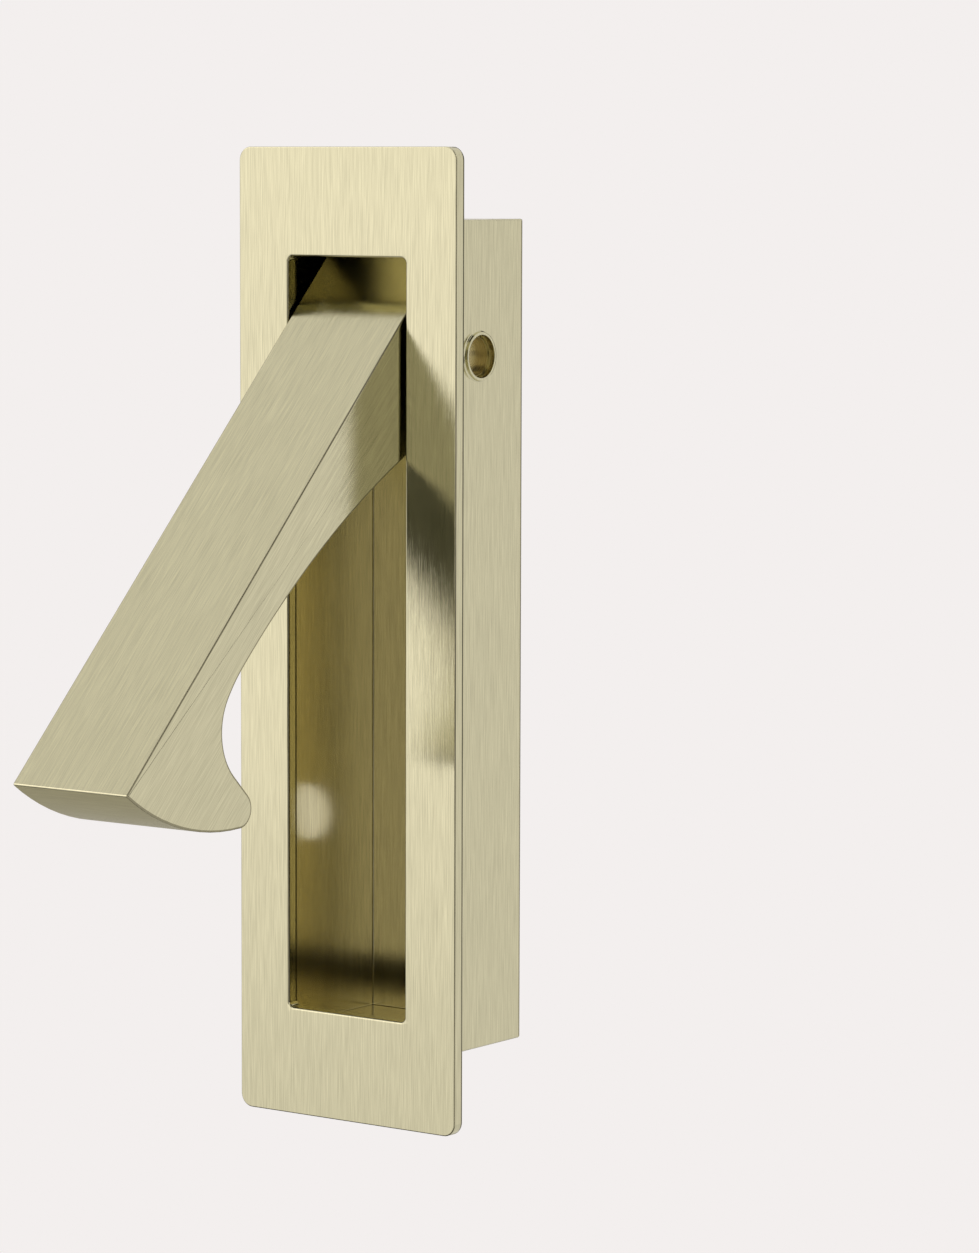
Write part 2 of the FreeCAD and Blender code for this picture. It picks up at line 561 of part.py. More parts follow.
def make_spring_washer(label, turn):
    body = new_body(label)
    bend = new_sketch(body, "BendProfile", "XY_Plane")
    crest = inner_width / 2 - size["washer_gap"] - size["washer_thick"]
    thick = size["washer_thick"]
    bow = size["washer_bow"]
    inside = (flange_radius ** 2 + bow ** 2) / (2 * bow)
    centre = Vector(crest - inside, 0, 0)
    reach = flange_radius + size["washer_trim"]
    spread = math.asin(reach / inside)
    INSIDE = "(((Sizes.flange_diameter / 2) ^ 2 + Sizes.washer_bow ^ 2) / (2 * Sizes.washer_bow))"
    CREST = f"({INNER_WIDTH} / 2 - Sizes.washer_gap - Sizes.washer_thick)"

    def on_arc(distance, angle):
        return centre + Vector(math.cos(angle), math.sin(angle), 0) * distance

    low_in = on_arc(inside, -spread)
    high_in = on_arc(inside, spread)
    low_out = on_arc(inside + thick, -spread)
    high_out = on_arc(inside + thick, spread)
    inner = add_arc(bend, centre, inside, low_in, high_in, True)
    outer = add_arc(bend, centre, inside + thick, low_out, high_out, True)
    top = bend.addGeometry(Part.LineSegment(high_in, high_out))
    foot = bend.addGeometry(Part.LineSegment(low_in, low_out))
    bend.addConstraint(Sketcher.Constraint("Coincident", inner[0], 2, top, 1))
    bend.addConstraint(Sketcher.Constraint("Coincident", outer[0], 2, top, 2))
    bend.addConstraint(Sketcher.Constraint("Coincident", inner[0], 1, foot, 1))
    bend.addConstraint(Sketcher.Constraint("Coincident", outer[0], 1, foot, 2))
    bend.addConstraint(Sketcher.Constraint("Coincident", inner[0], 3, outer[0], 3))
    bend.addConstraint(Sketcher.Constraint("PointOnObject", inner[0], 3, -1))
    bend.addConstraint(Sketcher.Constraint("PointOnObject", inner[0], 3, top))
    bend.addConstraint(Sketcher.Constraint("PointOnObject", inner[0], 3, foot))
    bend.addConstraint(Sketcher.Constraint("Symmetric", inner[0], 1, inner[0], 2, -1))
    dimension(bend, "inside_radius", INSIDE, "Radius", inner[0], inside)
    dimension(bend, "outside_radius", INSIDE + " + Sizes.washer_thick",
              "Radius", outer[0], inside + thick)
    dimension(bend, "reach", "Sizes.flange_diameter / 2 + Sizes.washer_trim",
              "DistanceY", -1, 1, inner[0], 2, reach)
    dimension(bend, "centre", f"{INSIDE} - {CREST}", "DistanceX", inner[0], 3, -1, 1, -centre.x)
    pad(body, "BentStrip", bend, "Sizes.flange_diameter + 2 * Sizes.washer_trim", both_ways=True)

    rim = new_sketch(body, "RimOutline", "YZ_Plane")
    waste = size["flange_diameter"] + 4 * size["washer_trim"]
    WASTE = "Sizes.flange_diameter + 4 * Sizes.washer_trim"
    add_rectangle(rim, "waste", waste, waste, WASTE, WASTE)
    add_circle(rim, "rim", 0, 0, flange_radius, None, None, "Sizes.flange_diameter / 2")
    pocket(body, "Rim", rim)
    hole = new_sketch(body, "HoleOutline", "YZ_Plane")
    add_circle(hole, "hole", 0, 0, bush_outer, None, None, BUSH_OUTER)
    pocket(body, "Hole", hole)
    body.Placement.Rotation = FreeCAD.Rotation(Vector(0, 0, 1), turn)
    hang_on_pin(body)


make_face_plate()
make_housing()
make_lever()
make_pin()
for end_name, half_turn in (("right", 0), ("left", 180)):
    make_bush("bush_" + end_name, half_turn)
    make_spring_washer("spring_washer_" + end_name, half_turn)

doc.recompute()
for item in doc.Objects:
    if "Invalid" in item.State or "Error" in item.State:
        raise RuntimeError(f"{item.Label} failed: {item.State}")
for part in parts:
    if part.Shape.isNull() or not part.Shape.isValid() or len(part.Shape.Solids) != 1:
        raise RuntimeError(f"{part.Label} isn't one valid solid")

os.makedirs("parts", exist_ok=True)
for part in parts:
    part.Shape.exportStep(f"parts/{part.Label}.step")
    box = part.Shape.BoundBox
    print(f"{part.Label}: {part.Shape.Volume:.1f} mm3, "
          f"X {box.XMin:.2f} to {box.XMax:.2f}, Y {box.YMin:.2f} to {box.YMax:.2f}, "
          f"Z {box.ZMin:.2f} to {box.ZMax:.2f}")
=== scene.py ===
import bmesh
import bpy
import math
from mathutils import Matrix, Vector


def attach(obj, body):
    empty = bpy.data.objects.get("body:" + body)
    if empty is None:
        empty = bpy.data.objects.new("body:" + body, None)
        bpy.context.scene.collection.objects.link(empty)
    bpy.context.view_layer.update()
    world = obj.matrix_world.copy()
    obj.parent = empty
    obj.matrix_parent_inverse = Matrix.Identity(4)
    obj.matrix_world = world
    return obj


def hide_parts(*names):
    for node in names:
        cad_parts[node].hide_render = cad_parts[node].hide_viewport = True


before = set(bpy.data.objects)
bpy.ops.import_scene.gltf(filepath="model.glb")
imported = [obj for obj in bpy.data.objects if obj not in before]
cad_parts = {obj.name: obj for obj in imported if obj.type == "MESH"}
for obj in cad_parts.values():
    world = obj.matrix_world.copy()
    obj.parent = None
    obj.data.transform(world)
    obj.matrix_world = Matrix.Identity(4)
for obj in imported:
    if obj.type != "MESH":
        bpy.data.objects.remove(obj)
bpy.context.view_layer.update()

# Pocket door pull: a brushed face plate, a thin box behind it, and a hooked lever that hangs open.
# Everything is in metres, in the solids' own frame: X across the door's edge, Y into the door, Z up.

# Face plate, with its front at a negative Y
PLATE_HALF_WIDTH = 0.01595
PLATE_HALF_LENGTH = 0.0575
PLATE_THICK = 0.0016
PLATE_CORNER = 0.0016
PLATE_EDGE = 0.00015
PLATE_BACK_EDGE = 0.00012
OPENING_HALF_WIDTH = 0.00865
OPENING_HALF_LENGTH = 0.0447
OPENING_CORNER = 0.0007
OPENING_EDGE = 0.0003
SEAT_DEPTH = 0.0004
SEAT_GAP = 0.00005

# Housing
BOX_HALF_WIDTH = 0.01125
BOX_HALF_LENGTH = 0.0491
BOX_DEPTH = 0.0181
BOX_EDGE = 0.00025
HOLLOW_HALF_WIDTH = 0.01045
HOLLOW_HALF_LENGTH = 0.0473
HOLLOW_DEPTH = 0.0173
HOLLOW_EDGE = 0.00015
COLLAR_RISE = 0.0005
COLLAR_RADIUS = 0.00287
COLLAR_ROOT = 0.00025
COLLAR_LIP = 0.00008
COLLAR_ROOT_PARTS = 4
COLLAR_LIP_PARTS = 2
PIN_HOLE_RADIUS = 0.00252
FIXING_RADIUS = 0.0035
FIXING_HEIGHT = -0.0243
FIXING_EDGE = 0.0001

# Pin
PIN_RADIUS = 0.0025
PIN_HALF_LENGTH = 0.01085
PIN_CHAMFER = 0.0002
PIN_CUP_RADIUS = 0.00225
PIN_CUP_DEPTH = 0.0009
PIN_FLOOR_RING = PIN_RADIUS / 4

# Lever, drawn closed. Distances are from the pin's axis unless the name says otherwise.
PIVOT_Y = 0.00925
PIVOT_Z = 0.033104
OPEN_ANGLE = math.radians(44.5)
LEVER_HALF_WIDTH = 0.00825
LEVER_FRONT = 0.01085
LEVER_TOP = 0.00865
LEVER_FOOT = 0.074854
HEEL_REACH = 0.00785
HUB_RADIUS = 0.0062
WAIST_THICK = 0.0057
WAIST_ABOVE_FOOT = 0.02275
HOOK_ABOVE_FOOT = 0.01315
TIP_REACH = 0.00762
TIP_RADIUS = 0.0021
NECK_RADIUS = 0.019
SCOOP_RADIUS = 0.007
END_RADIUS = 0.030
LEVER_BORE = 0.00326
HEEL_ROUND = 0.001
TOP_ROUND = 0.0006
FOOT_ROUND = 0.0002
LEVER_EDGE = 0.00015

# Widths of the strips that get painted shade, drawn darker: round the lever's sides, and along the back edges
# of the plate and of the housing
LEVER_STRIP = 0.0001
PLATE_BACK_STRIP = 0.0003
BOX_BACK_STRIP = 0.0004
# A face of the lever's strip gets painted shade when it measures no more than this round and its area is no
# more than this share of that outline times the strip's width, so the long strip in front stays as light as
# the side.
STRIP_OUTLINE = 0.008
STRIP_SHARE = 0.55

# Two places closer together than this are the same place.
NEAR = 2e-5

# How much of a normal or of an edge's length lies along an axis: for a flat face or a straight edge, for
# one that mostly looks that way, for one at a slant, and between which limits for a rounded edge
STRAIGHT = 0.999
FACING = 0.9
SLANTED = 0.5
ROUNDED_LEAST = 0.1
ROUNDED_MOST = 0.97
# Edges that look up more than this get no painted shade, and the plate's that look down more than this get
# the darkest painted shade.
LOOKS_UP = 0.3
LOOKS_DOWN = 0.2

ROUND_PARTS = 64
SMOOTH_ANGLE = math.radians(38)
FLAT_ANGLE = math.radians(0.1)
NORMAL_WEIGHT = 80


# Modelling helpers

def select_only(piece):
    bpy.ops.object.select_all(action="DESELECT")
    piece.select_set(True)
    bpy.context.view_layer.objects.active = piece


def add_block(name, low, high):
    """Block between two corners."""
    bpy.ops.object.select_all(action="DESELECT")
    centre = (Vector(low) + Vector(high)) / 2
    bpy.ops.mesh.primitive_cube_add(size=1, location=centre, scale=Vector(high) - Vector(low))
    piece = bpy.context.object
    piece.name = name
    bpy.ops.object.transform_apply(location=True, rotation=True, scale=True)
    return piece


def add_rod(name, radius, start, end):
    """Round rod between two points on a line along X or Y."""
    bpy.ops.object.select_all(action="DESELECT")
    run = Vector(end) - Vector(start)
    turn = Vector((0, 0, 1)).rotation_difference(run).to_euler()
    bpy.ops.mesh.primitive_cylinder_add(vertices=ROUND_PARTS, radius=radius, depth=run.length,
                                        location=(Vector(start) + Vector(end)) / 2, rotation=turn)
    piece = bpy.context.object
    piece.name = name
    bpy.ops.object.transform_apply(location=True, rotation=True, scale=True)
    return piece


def start_edit(piece):
    select_only(piece)
    bpy.ops.object.mode_set(mode="EDIT")
    bpy.ops.mesh.select_mode(type="VERT")
    bpy.ops.mesh.select_all(action="DESELECT")


def end_edit():
    bpy.ops.object.mode_set(mode="OBJECT")


def choose_faces(piece, wanted):
    """Select the faces whose middle and normal pass the test."""
    bpy.ops.mesh.select_mode(type="FACE")
    bpy.ops.mesh.select_all(action="DESELECT")
    shape = bmesh.from_edit_mesh(piece.data)
    for face in shape.faces:
        if wanted(face.calc_center_median(), face.normal):
            face.select_set(True)
    bmesh.update_edit_mesh(piece.data)


def choose_edges(piece, wanted):
    """Select the edges whose two ends pass the test."""
    bpy.ops.mesh.select_mode(type="EDGE")
    bpy.ops.mesh.select_all(action="DESELECT")
    shape = bmesh.from_edit_mesh(piece.data)
    for edge in shape.edges:
        if wanted(edge.verts[0].co, edge.verts[1].co):
            edge.select_set(True)
    bmesh.update_edit_mesh(piece.data)


def near(a, b):
    return abs(a - b) < NEAR


def runs_along(start, end, axis):
    run = end - start
    return abs(run[axis]) > STRAIGHT * run.length


def both_at(start, end, axis, value):
    return near(start[axis], value) and near(end[axis], value)


def round_off(radius, steps):
    """Round the selected edges; the radius is how far the rounding reaches on each face."""
    bpy.ops.mesh.bevel(offset=radius, offset_type="OFFSET", segments=steps, profile=0.5,
                       affect="EDGES")


def cut_lines(axis, place):
    """Cut the selected faces through along a plane at a place on an axis."""
    normal = Vector((0, 0, 0))
    normal[axis] = 1
    bpy.ops.mesh.bisect(plane_co=normal * place, plane_no=normal)


def cut_away(piece, cutter):
    """Take the cutter's volume out of the piece, and remove the cutter."""
    select_only(piece)
    bpy.ops.object.modifier_add(type="BOOLEAN")
    cut = piece.modifiers[-1]
    cut.operation = "DIFFERENCE"
    cut.solver = "EXACT"
    cut.object = cutter
    bpy.ops.object.modifier_apply(modifier=cut.name)
    bpy.data.objects.remove(cutter)


def smooth_faces(piece):
    """Smooth shading on the rounded edges, with the flat faces kept flat."""
    select_only(piece)
    bpy.ops.object.shade_smooth_by_angle(angle=SMOOTH_ANGLE)
    bpy.ops.object.modifier_add(type="WEIGHTED_NORMAL")
    weighted = piece.modifiers[-1]
    weighted.keep_sharp = True
    weighted.weight = NORMAL_WEIGHT
    bpy.ops.object.modifier_apply(modifier=weighted.name)


def map_surface(piece, end_grain=None):
    """UV map in which U runs across the brushing. Faces that pass the end_grain test are brushed across."""
    for old_map in list(piece.data.uv_layers):
        piece.data.uv_layers.remove(old_map)
    piece.data.uv_layers.new(name="brushing")
    start_edit(piece)
    bpy.ops.mesh.select_all(action="SELECT")
    bpy.ops.uv.cube_project(cube_size=1.0, correct_aspect=False)
    end_edit()
    layer = piece.data.uv_layers["brushing"]
    if end_grain:
        for face in piece.data.polygons:
            if end_grain(face.center, face.normal):
                for corner in face.loop_indices:
                    across, along = layer.data[corner].uv
                    layer.data[corner].uv = (along, across)


# Face plate

def make_plate():
    plate = add_block("face_plate_brushed",
                      (-PLATE_HALF_WIDTH, -PLATE_THICK, -PLATE_HALF_LENGTH),
                      (PLATE_HALF_WIDTH, 0, PLATE_HALF_LENGTH))
    start_edit(plate)
    for axis, reach in ((0, OPENING_HALF_WIDTH), (2, OPENING_HALF_LENGTH)):
        for side in (-1, 1):
            bpy.ops.mesh.select_all(action="SELECT")
            cut_lines(axis, reach * side)
    choose_faces(plate, lambda middle, normal: abs(normal.y) > FACING
                 and abs(middle.x) < OPENING_HALF_WIDTH and abs(middle.z) < OPENING_HALF_LENGTH)
    bpy.ops.mesh.bridge_edge_loops()
    choose_edges(plate, lambda start, end: runs_along(start, end, 1)
                 and near(abs(start.x), PLATE_HALF_WIDTH) and near(abs(start.z), PLATE_HALF_LENGTH))
    round_off(PLATE_CORNER, steps=10)
    choose_edges(plate, lambda start, end: runs_along(start, end, 1)
                 and near(abs(start.x), OPENING_HALF_WIDTH)
                 and near(abs(start.z), OPENING_HALF_LENGTH))
    round_off(OPENING_CORNER, steps=6)

    def outside(place):
        return (abs(place.x) > PLATE_HALF_WIDTH - PLATE_CORNER - NEAR
                or abs(place.z) > PLATE_HALF_LENGTH - PLATE_CORNER - NEAR)

    def on_side_wall(start, end):
        """An edge of the plate's outline, and not a line across its face."""
        if near(abs(start.x), PLATE_HALF_WIDTH) and near(abs(end.x), PLATE_HALF_WIDTH):
            return True
        if near(abs(start.z), PLATE_HALF_LENGTH) and near(abs(end.z), PLATE_HALF_LENGTH):
            return True
        return ((start - end).length < PLATE_CORNER / 3 and outside(start) and outside(end))

    choose_edges(plate, lambda start, end: both_at(start, end, 1, -PLATE_THICK)
                 and on_side_wall(start, end))
    round_off(PLATE_EDGE, steps=5)
    choose_edges(plate, lambda start, end: both_at(start, end, 1, 0) and on_side_wall(start, end))
    round_off(PLATE_BACK_EDGE, steps=2)

    def on_opening(start, end):
        middle = (start + end) / 2
        return (abs(middle.x) < OPENING_HALF_WIDTH + NEAR
                and abs(middle.z) < OPENING_HALF_LENGTH + NEAR)

    choose_edges(plate, lambda start, end: both_at(start, end, 1, -PLATE_THICK)
                 and on_opening(start, end))
    round_off(OPENING_EDGE, steps=4)
    # Cut off the strip along the back edges that gets painted shade.
    bpy.ops.mesh.select_all(action="SELECT")
    cut_lines(1, -PLATE_BACK_STRIP)
    end_edit()

    ring = add_block("seat_cutter",
                     (-BOX_HALF_WIDTH - SEAT_GAP, -SEAT_DEPTH, -BOX_HALF_LENGTH - SEAT_GAP),
                     (BOX_HALF_WIDTH + SEAT_GAP, SEAT_DEPTH, BOX_HALF_LENGTH + SEAT_GAP))
    core = add_block("seat_core",
                     (SEAT_GAP - HOLLOW_HALF_WIDTH, -2 * SEAT_DEPTH, SEAT_GAP - HOLLOW_HALF_LENGTH),
                     (HOLLOW_HALF_WIDTH - SEAT_GAP, 2 * SEAT_DEPTH, HOLLOW_HALF_LENGTH - SEAT_GAP))
    cut_away(ring, core)
    cut_away(plate, ring)
    smooth_faces(plate)
    map_surface(plate)
    return plate


# Housing

def draw_collar(housing, side):
    """Draw the wall's hole out into a collar, by pushing its outer rim out and in, step by step."""
    wall = BOX_HALF_WIDTH * side
    inner_wall = HOLLOW_HALF_WIDTH * side
    root = COLLAR_RADIUS + COLLAR_ROOT

    def from_axis(place):
        return math.hypot(place.y - PIVOT_Y, place.z - PIVOT_Z)

    choose_faces(housing, lambda middle, normal: abs(normal.x) < SLANTED
                 and from_axis(middle) < root + NEAR and middle.x * side > 0)
    bpy.ops.mesh.delete(type="ONLY_FACE")
    choose_edges(housing, lambda start, end: runs_along(start, end, 0)
                 and near(from_axis(start), root) and start.x * side > 0)
    bpy.ops.mesh.delete(type="EDGE")
    steps = []
    for part in range(1, COLLAR_ROOT_PARTS + 1):
        angle = math.pi / 2 * part / COLLAR_ROOT_PARTS
        steps.append((BOX_HALF_WIDTH + COLLAR_ROOT * (1 - math.cos(angle)),
                      root - COLLAR_ROOT * math.sin(angle)))
    crest = BOX_HALF_WIDTH + COLLAR_RISE
    for part in range(COLLAR_LIP_PARTS + 1):
        angle = math.pi / 2 * part / COLLAR_LIP_PARTS
        steps.append((crest - COLLAR_LIP * (1 - math.sin(angle)),
                      COLLAR_RADIUS - COLLAR_LIP * (1 - math.cos(angle))))
    for part in range(COLLAR_LIP_PARTS + 1):
        angle = math.pi / 2 * part / COLLAR_LIP_PARTS
        steps.append((crest - COLLAR_LIP * (1 - math.cos(angle)),
                      PIN_HOLE_RADIUS + COLLAR_LIP * (1 - math.sin(angle))))
    steps.append((HOLLOW_HALF_WIDTH, PIN_HOLE_RADIUS))

    choose_edges(housing, lambda start, end: both_at(start, end, 0, wall)
                 and near(from_axis(start), root) and near(from_axis(end), root))
    place, radius = BOX_HALF_WIDTH, root
    for new_place, new_radius in steps:
        bpy.ops.mesh.extrude_edges_move(
            TRANSFORM_OT_translate={"value": ((new_place - place) * side, 0, 0)})
        ratio = new_radius / radius
        bpy.ops.transform.resize(value=(1, ratio, ratio),
                                 center_override=(new_place * side, PIVOT_Y, PIVOT_Z))
        place, radius = new_place, new_radius
    choose_edges(housing, lambda start, end: both_at(start, end, 0, inner_wall)
                 and from_axis(start) < root + NEAR and from_axis(end) < root + NEAR)
    bpy.ops.mesh.bridge_edge_loops()


def make_housing():
    housing = add_block("housing_box",
                        (-BOX_HALF_WIDTH, -SEAT_DEPTH, -BOX_HALF_LENGTH),
                        (BOX_HALF_WIDTH, BOX_DEPTH, BOX_HALF_LENGTH))
    start_edit(housing)
    choose_edges(housing, lambda start, end: runs_along(start, end, 1)
                 or both_at(start, end, 1, BOX_DEPTH))
    round_off(BOX_EDGE, steps=5)
    for axis, reach in ((0, HOLLOW_HALF_WIDTH), (2, HOLLOW_HALF_LENGTH)):
        for side in (-1, 1):
            choose_faces(housing, lambda middle, normal: normal.y < -FACING)
            cut_lines(axis, reach * side)
    choose_faces(housing, lambda middle, normal: normal.y < -FACING
                 and abs(middle.x) < HOLLOW_HALF_WIDTH and abs(middle.z) < HOLLOW_HALF_LENGTH)
    bpy.ops.mesh.extrude_region_move(
        TRANSFORM_OT_translate={"value": (0, HOLLOW_DEPTH + SEAT_DEPTH, 0)})

    def in_hollow(place):
        return (abs(place.x) < HOLLOW_HALF_WIDTH + NEAR
                and abs(place.z) < HOLLOW_HALF_LENGTH + NEAR)

    choose_edges(housing, lambda start, end: in_hollow(start) and in_hollow(end)
                 and (runs_along(start, end, 1) or both_at(start, end, 1, HOLLOW_DEPTH)))
    round_off(HOLLOW_EDGE, steps=5)
    end_edit()

    reach = BOX_HALF_WIDTH + COLLAR_RISE
    cut_away(housing, add_rod("pin_hole_cutter", COLLAR_RADIUS + COLLAR_ROOT,
                              (-reach, PIVOT_Y, PIVOT_Z), (reach, PIVOT_Y, PIVOT_Z)))
    cut_away(housing, add_rod("fixing_cutter", FIXING_RADIUS,
                              (0, HOLLOW_DEPTH - FIXING_RADIUS, FIXING_HEIGHT),
                              (0, BOX_DEPTH + FIXING_RADIUS, FIXING_HEIGHT)))
    start_edit(housing)
    for side in (-1, 1):
        draw_collar(housing, side)

    def on_fixing_rim(start, end):
        return (near(math.hypot(start.x, start.z - FIXING_HEIGHT), FIXING_RADIUS)
                and near(math.hypot(end.x, end.z - FIXING_HEIGHT), FIXING_RADIUS)
                and near(start.y, end.y))

    choose_edges(housing, on_fixing_rim)
    round_off(FIXING_EDGE, steps=2)
    # Cut off the strip along the back of the housing's sides that gets painted shade.
    choose_faces(housing, lambda middle, normal: abs(normal.x) > STRAIGHT
                 and abs(middle.x) > HOLLOW_HALF_WIDTH + NEAR)
    cut_lines(1, BOX_DEPTH - BOX_BACK_STRIP)
    end_edit()
    smooth_faces(housing)
    map_surface(housing)
    return housing


# Lever

def lever_outline():
    """The closed lever's side outline from its top front corner, as lines and arcs.

    Each is an arc's centre, or None for a line, then its end and how many parts it is drawn in.
    """
    waist = Vector((0, WAIST_THICK - LEVER_FRONT, WAIST_ABOVE_FOOT - LEVER_FOOT))
    hook = HOOK_ABOVE_FOOT - LEVER_FOOT
    top_front = Vector((0, -LEVER_FRONT, LEVER_TOP))
    foot = Vector((0, -LEVER_FRONT, -LEVER_FOOT))
    tip_centre = Vector((0, TIP_REACH - TIP_RADIUS, hook - TIP_RADIUS))
    span = (tip_centre - foot).length
    toward = (tip_centre - foot).normalized()
    upward = Vector((0, -toward.z, toward.y))
    share = (END_RADIUS ** 2 - (END_RADIUS - TIP_RADIUS) ** 2 + span ** 2) / (2 * span)
    end_centre = foot + toward * share + upward * math.sqrt(END_RADIUS ** 2 - share ** 2)
    end_last = end_centre + (tip_centre - end_centre).normalized() * END_RADIUS
    tip_last = Vector((0, tip_centre.y, hook))

    neck_centre = Vector((0, waist.y + NECK_RADIUS, waist.z))
    scoop_height = hook + SCOOP_RADIUS
    scoop_reach = math.sqrt((NECK_RADIUS - SCOOP_RADIUS) ** 2 - (scoop_height - waist.z) ** 2)
    scoop_centre = Vector((0, neck_centre.y - scoop_reach, scoop_height))
    scoop_first = Vector((0, scoop_centre.y, hook))
    scoop_last = neck_centre + (scoop_centre - neck_centre).normalized() * NECK_RADIUS

    back_radius = (waist.y ** 2 + waist.z ** 2 - HUB_RADIUS ** 2) / (2 * (HUB_RADIUS - waist.y))
    back_centre = Vector((0, waist.y + back_radius, waist.z))
    hub_centre = Vector((0, 0, 0))
    back_last = back_centre.normalized() * HUB_RADIUS
    hub_last = Vector((0, HUB_RADIUS, 0))
    lean = OPEN_ANGLE
    heel_low_z = (HEEL_REACH - HUB_RADIUS * math.cos(lean)) / math.sin(lean)
    heel_low = Vector((0, HUB_RADIUS, heel_low_z))
    heel_high = Vector((0, (HEEL_REACH - LEVER_TOP * math.sin(lean)) / math.cos(lean), LEVER_TOP))
    return top_front, [
        (None, foot, 1),
        (end_centre, end_last, 12),
        (tip_centre, tip_last, 20),
        (None, scoop_first, 1),
        (scoop_centre, scoop_last, 16),
        (neck_centre, waist, 10),
        (back_centre, back_last, 24),
        (hub_centre, hub_last, 10),
        (None, heel_low, 1),
        (None, heel_high, 1),
    ]


def turn_between(centre, start, end):
    """Signed angle about +X from start to end, seen from the centre."""
    before = start - centre
    after = end - centre
    return math.atan2(before.y * after.z - before.z * after.y,
                      before.y * after.y + before.z * after.z)


def make_lever():
    pivot = Vector((0, PIVOT_Y, PIVOT_Z))
    side = Vector((LEVER_HALF_WIDTH, 0, 0))
    first, outline = lever_outline()
    bpy.ops.object.select_all(action="DESELECT")
    bpy.ops.mesh.primitive_plane_add(size=LEVER_EDGE, location=pivot + first - side)
    lever = bpy.context.object
    lever.name = "pull_lever_bar"
    bpy.ops.object.transform_apply(location=True, rotation=True, scale=True)
    start_edit(lever)
    bpy.ops.mesh.select_all(action="SELECT")
    bpy.ops.mesh.merge(type="CENTER")
    here = first
    for centre, there, steps in outline:
        if centre is None:
            bpy.ops.mesh.extrude_vertices_move(TRANSFORM_OT_translate={"value": there - here})
        else:
            bpy.ops.mesh.spin(steps=steps, angle=turn_between(centre, there, here),
                              center=pivot + centre - side, axis=(1, 0, 0))
        here = there
    bpy.ops.mesh.select_all(action="SELECT")
    bpy.ops.mesh.edge_face_add()
    bpy.ops.mesh.extrude_region_move(TRANSFORM_OT_translate={"value": 2 * side})
    bpy.ops.mesh.select_all(action="SELECT")
    bpy.ops.mesh.normals_make_consistent(inside=False)

    def crosswise_at(start, end, place):
        middle = (start + end) / 2 - pivot
        return runs_along(start, end, 0) and near(middle.y, place.y) and near(middle.z, place.z)

    heel_low = outline[-2][1]
    heel_high = outline[-1][1]
    choose_edges(lever, lambda start, end: crosswise_at(start, end, heel_low))
    round_off(HEEL_ROUND * math.tan(OPEN_ANGLE / 2), steps=4)
    choose_edges(lever, lambda start, end: crosswise_at(start, end, heel_high))
    round_off(HEEL_ROUND * math.tan((math.pi / 2 - OPEN_ANGLE) / 2), steps=4)
    choose_edges(lever, lambda start, end: crosswise_at(start, end, first))
    round_off(TOP_ROUND, steps=5)
    choose_edges(lever, lambda start, end: crosswise_at(start, end, outline[0][1]))
    end_inward = outline[1][0] - outline[0][1]
    foot_turn = Vector((0, 0, -1)).angle(Vector((0, end_inward.z, -end_inward.y)))
    round_off(FOOT_ROUND * math.tan(foot_turn / 2), steps=4)
    choose_edges(lever, lambda start, end: both_at(start, end, 0, LEVER_HALF_WIDTH)
                 or both_at(start, end, 0, -LEVER_HALF_WIDTH))
    round_off(LEVER_EDGE, steps=3)
    end_edit()
    reach = 2 * LEVER_HALF_WIDTH
    cut_away(lever, add_rod("bore_cutter", LEVER_BORE, pivot - Vector((reach, 0, 0)),
                            pivot + Vector((reach, 0, 0))))
    start_edit(lever)
    choose_faces(lever, lambda middle, normal: abs(normal.x) > STRAIGHT)
    bpy.ops.mesh.dissolve_limited(angle_limit=FLAT_ANGLE)
    # Inset a thin strip round the lever's sides, whose short faces get painted shade.
    choose_faces(lever, lambda middle, normal: abs(normal.x) > STRAIGHT)
    bpy.ops.mesh.inset(thickness=LEVER_STRIP, depth=0)
    bpy.ops.mesh.quads_convert_to_tris(quad_method="BEAUTY", ngon_method="BEAUTY")
    end_edit()
    smooth_faces(lever)
    hook_height = PIVOT_Z + HOOK_ABOVE_FOOT - LEVER_FOOT
    map_surface(lever, lambda middle, normal: normal.z < -SLANTED and middle.z < hook_height)
    start_edit(lever)
    bpy.ops.mesh.select_all(action="SELECT")
    bpy.ops.transform.rotate(value=OPEN_ANGLE, orient_axis="X", center_override=pivot)
    end_edit()
    return lever


# Pin

def make_pin():
    pin = add_rod("pivot_pin_turned", PIN_RADIUS, (-PIN_HALF_LENGTH, PIVOT_Y, PIVOT_Z),
                  (PIN_HALF_LENGTH, PIVOT_Y, PIVOT_Z))
    start_edit(pin)
    choose_edges(pin, lambda start, end: both_at(start, end, 0, PIN_HALF_LENGTH)
                 or both_at(start, end, 0, -PIN_HALF_LENGTH))
    round_off(PIN_CHAMFER, steps=1)
    for side in (-1, 1):
        choose_faces(pin, lambda middle, normal: normal.x * side > FACING)
        bpy.ops.mesh.inset(thickness=PIN_RADIUS - PIN_CHAMFER - PIN_CUP_RADIUS, depth=0)
        bpy.ops.mesh.extrude_region_move(
            TRANSFORM_OT_translate={"value": (-PIN_CUP_DEPTH * side, 0, 0)})
        bpy.ops.mesh.inset(thickness=PIN_FLOOR_RING, depth=0)
    end_edit()
    smooth_faces(pin)
    map_surface(pin)
    return pin


plate = make_plate()
housing = make_housing()
lever = make_lever()
pin = make_pin()

for piece, node, body, finish in (
    (plate, "face_plate", "frame", "brushed_brass"),
    (housing, "housing", "frame", "brushed_brass"),
    (lever, "pull_lever", "lever", "brushed_brass"),
    (pin, "pivot_pin", "frame", "pin_brass"),
):
    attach(piece, body)
    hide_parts(node)


# Materials

def add_node(tree, kind, **settings):
    node = tree.nodes.new(kind)
    for name, value in settings.items():
        setattr(node, name, value)
    return node


def math_node(tree, operation, first, second=None, third=None):
    node = add_node(tree, "ShaderNodeMath", operation=operation)
    for socket, value in zip(node.inputs, (first, second, third)):
        if value is None:
            continue
        if isinstance(value, (int, float)):
            socket.default_value = value
        else:
            tree.links.new(value, socket)
    return node.outputs[0]


